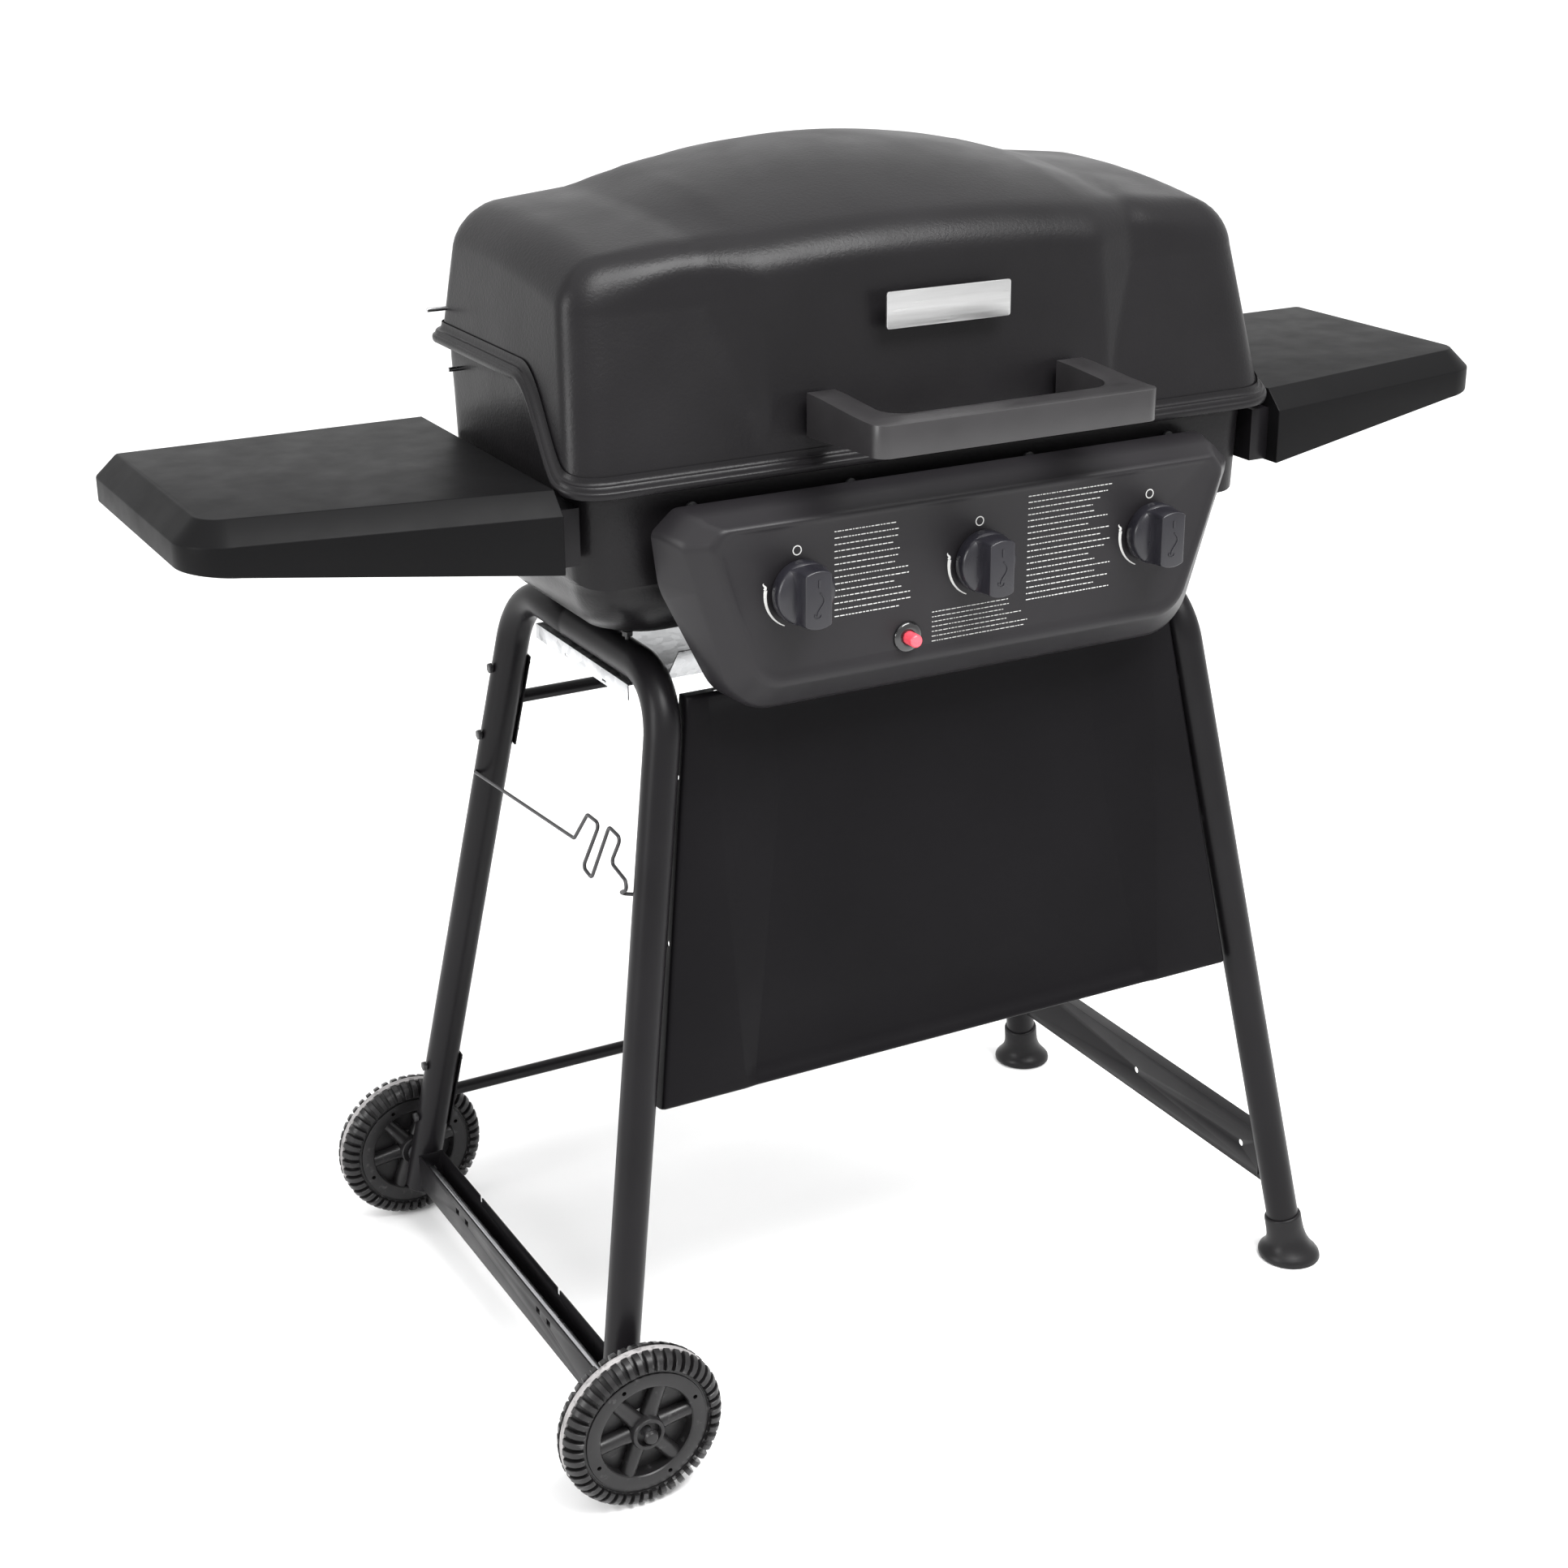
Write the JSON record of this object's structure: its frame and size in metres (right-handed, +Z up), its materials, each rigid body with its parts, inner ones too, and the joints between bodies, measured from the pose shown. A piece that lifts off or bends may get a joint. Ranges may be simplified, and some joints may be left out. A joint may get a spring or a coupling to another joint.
{
  "type": "gas barbecue grill",
  "caption": "Free-standing gas barbecue on a splayed tube cart: hinged rounded lid, firebox, control panel with turn knobs, side shelves, wheels at one end and feet at the other.",
  "frame": {"origin": "on the floor under the middle of the grill's overall box", "axes": "+Z up, the user stands on the -Y side, +X towards the user's right along the longest extent"},
  "size_m": [1.3, 0.612, 1.1133],
  "materials": {
    "satin_black_paint": "satin black high-temperature powder coat with a fine orange-peel texture",
    "smooth_black_paint": "smooth satin black powder coat on tube and folded sheet",
    "panel_paint": "charcoal satin powder coat",
    "shelf_plastic": "moulded matt black plastic with a very fine grain",
    "knob_plastic": "satin black moulded plastic",
    "handle_plastic": "satin black moulded plastic",
    "wheel_plastic": "hard black plastic with a scuffed grey tread band",
    "foot_plastic": "matt black plastic",
    "zinc_fasteners": "bright zinc plate",
    "black_fasteners": "black oxide screws",
    "galvanised_sheet": "galvanised sheet steel",
    "badge_aluminium": "brushed aluminium",
    "cast_aluminium": "plain drawn aluminium",
    "valve_brass": "turned brass",
    "burner_steel": "stainless tube",
    "tent_steel": "aluminised steel",
    "grate_enamel": "porcelain-coated steel rod",
    "rack_chrome": "chromed wire",
    "wire_black": "black coated spring wire",
    "button_red": "red moulded plastic",
    "electrode_ceramic": "white ceramic"
  },
  "bodies": {
    "cart": {"left_front_leg": "smooth_black_paint", "left_rear_leg": "smooth_black_paint", "right_front_leg": "smooth_black_paint", "right_rear_leg": "smooth_black_paint", "left_lower_brace": "smooth_black_paint", "right_lower_brace": "smooth_black_paint", "upper_rear_rail": "smooth_black_paint", "lower_rear_rail": "smooth_black_paint", "front_panel": "smooth_black_paint", "right_front_foot": "foot_plastic", "right_rear_foot": "foot_plastic", "axle": "zinc_fasteners", "axle_caps": "wheel_plastic", "axle_washers": "zinc_fasteners", "frame_bolts": "black_fasteners", "tank_retainer_wire": "wire_black", "heat_shield": "galvanised_sheet", "firebox": "satin_black_paint", "firebox_bolts": "black_fasteners", "firebox_hinge_brackets": "smooth_black_paint", "hinge_pins": "zinc_fasteners", "hinge_pin_clips": "zinc_fasteners", "left_shelf": "shelf_plastic", "right_shelf": "shelf_plastic", "shelf_brackets": "smooth_black_paint", "shelf_screws": "black_fasteners", "control_panel": "panel_paint", "panel_screws": "black_fasteners", "manifold": "cast_aluminium", "valve_bodies": "valve_brass", "left_burner": "burner_steel", "centre_burner": "burner_steel", "right_burner": "burner_steel", "crossover_tube": "burner_steel", "heat_tents": "tent_steel", "left_cooking_grate": "grate_enamel", "right_cooking_grate": "grate_enamel", "ignitor_body": "knob_plastic", "ignitor_electrode": "electrode_ceramic", "grease_cup": "cast_aluminium", "grease_cup_clip": "zinc_fasteners"},
    "lid_body": {"lid": "satin_black_paint", "lid_hinge_brackets": "smooth_black_paint", "lid_screws": "black_fasteners", "lid_handle": "handle_plastic", "lid_plate": "badge_aluminium"},
    "rack_body": {"warming_rack": "rack_chrome"},
    "swing_leg_body": {"rack_swing_leg": "rack_chrome"},
    "left_valve_rotor": {"left_valve_plug": "valve_brass"},
    "left_control": {"left_valve_stem": "zinc_fasteners", "left_knob": "knob_plastic"},
    "centre_valve_rotor": {"centre_valve_plug": "valve_brass"},
    "centre_control": {"centre_valve_stem": "zinc_fasteners", "centre_knob": "knob_plastic"},
    "right_valve_rotor": {"right_valve_plug": "valve_brass"},
    "right_control": {"right_valve_stem": "zinc_fasteners", "right_knob": "knob_plastic"},
    "ignitor_press": {"ignitor_button": "button_red"},
    "front_wheel_body": {"front_wheel": "wheel_plastic"},
    "rear_wheel_body": {"rear_wheel": "wheel_plastic"}
  },
  "joints": [
    {"name": "lid_hinge", "type": "hinge", "parent": "cart", "child": "lid_body", "pos_m": [0, 0.168, 0.951], "axis": [-1, 0, 0], "range_deg": [0, 92]},
    {"name": "rack_pivot", "type": "hinge", "parent": "lid_body", "child": "rack_body", "pos_m": [0, 0.12, 0.977], "axis": [-1, 0, 0], "range_deg": [-92, 0]},
    {"name": "swing_leg_pivot", "type": "hinge", "parent": "cart", "child": "swing_leg_body", "pos_m": [0, 0.084, 0.931], "axis": [-1, 0, 0], "range_deg": [0, 92]},
    {"name": "left_knob_turn", "type": "hinge", "parent": "cart", "child": "left_valve_rotor", "pos_m": [-0.176, -0.198, 0.788], "axis": [0, -1, 0], "range_deg": [0, 150]},
    {"name": "left_knob_push", "type": "slide", "parent": "left_valve_rotor", "child": "left_control", "axis": [0, 1, 0], "range_m": [0, 0.003], "stiffness_N_per_m": 1500, "springref_m": -0.002},
    {"name": "centre_knob_turn", "type": "hinge", "parent": "cart", "child": "centre_valve_rotor", "pos_m": [0, -0.198, 0.788], "axis": [0, -1, 0], "range_deg": [0, 150]},
    {"name": "centre_knob_push", "type": "slide", "parent": "centre_valve_rotor", "child": "centre_control", "axis": [0, 1, 0], "range_m": [0, 0.003], "stiffness_N_per_m": 1500, "springref_m": -0.002},
    {"name": "right_knob_turn", "type": "hinge", "parent": "cart", "child": "right_valve_rotor", "pos_m": [0.176, -0.198, 0.788], "axis": [0, -1, 0], "range_deg": [0, 150]},
    {"name": "right_knob_push", "type": "slide", "parent": "right_valve_rotor", "child": "right_control", "axis": [0, 1, 0], "range_m": [0, 0.003], "stiffness_N_per_m": 1500, "springref_m": -0.002},
    {"name": "ignitor_push", "type": "slide", "parent": "cart", "child": "ignitor_press", "axis": [0, 1, 0], "range_m": [0, 0.005], "stiffness_N_per_m": 800, "springref_m": -0.002},
    {"name": "front_wheel_spin", "type": "hinge", "parent": "cart", "child": "front_wheel_body", "pos_m": [-0.3678, -0.28, 0.076], "axis": [0, 1, 0], "continuous": true},
    {"name": "rear_wheel_spin", "type": "hinge", "parent": "cart", "child": "rear_wheel_body", "pos_m": [-0.3678, 0.28, 0.076], "axis": [0, 1, 0], "continuous": true}
  ],
  "couplings": [
    {"joint": "rack_pivot", "follows": "lid_hinge", "ratio": -1},
    {"joint": "swing_leg_pivot", "follows": "lid_hinge", "ratio": 1}
  ]
}
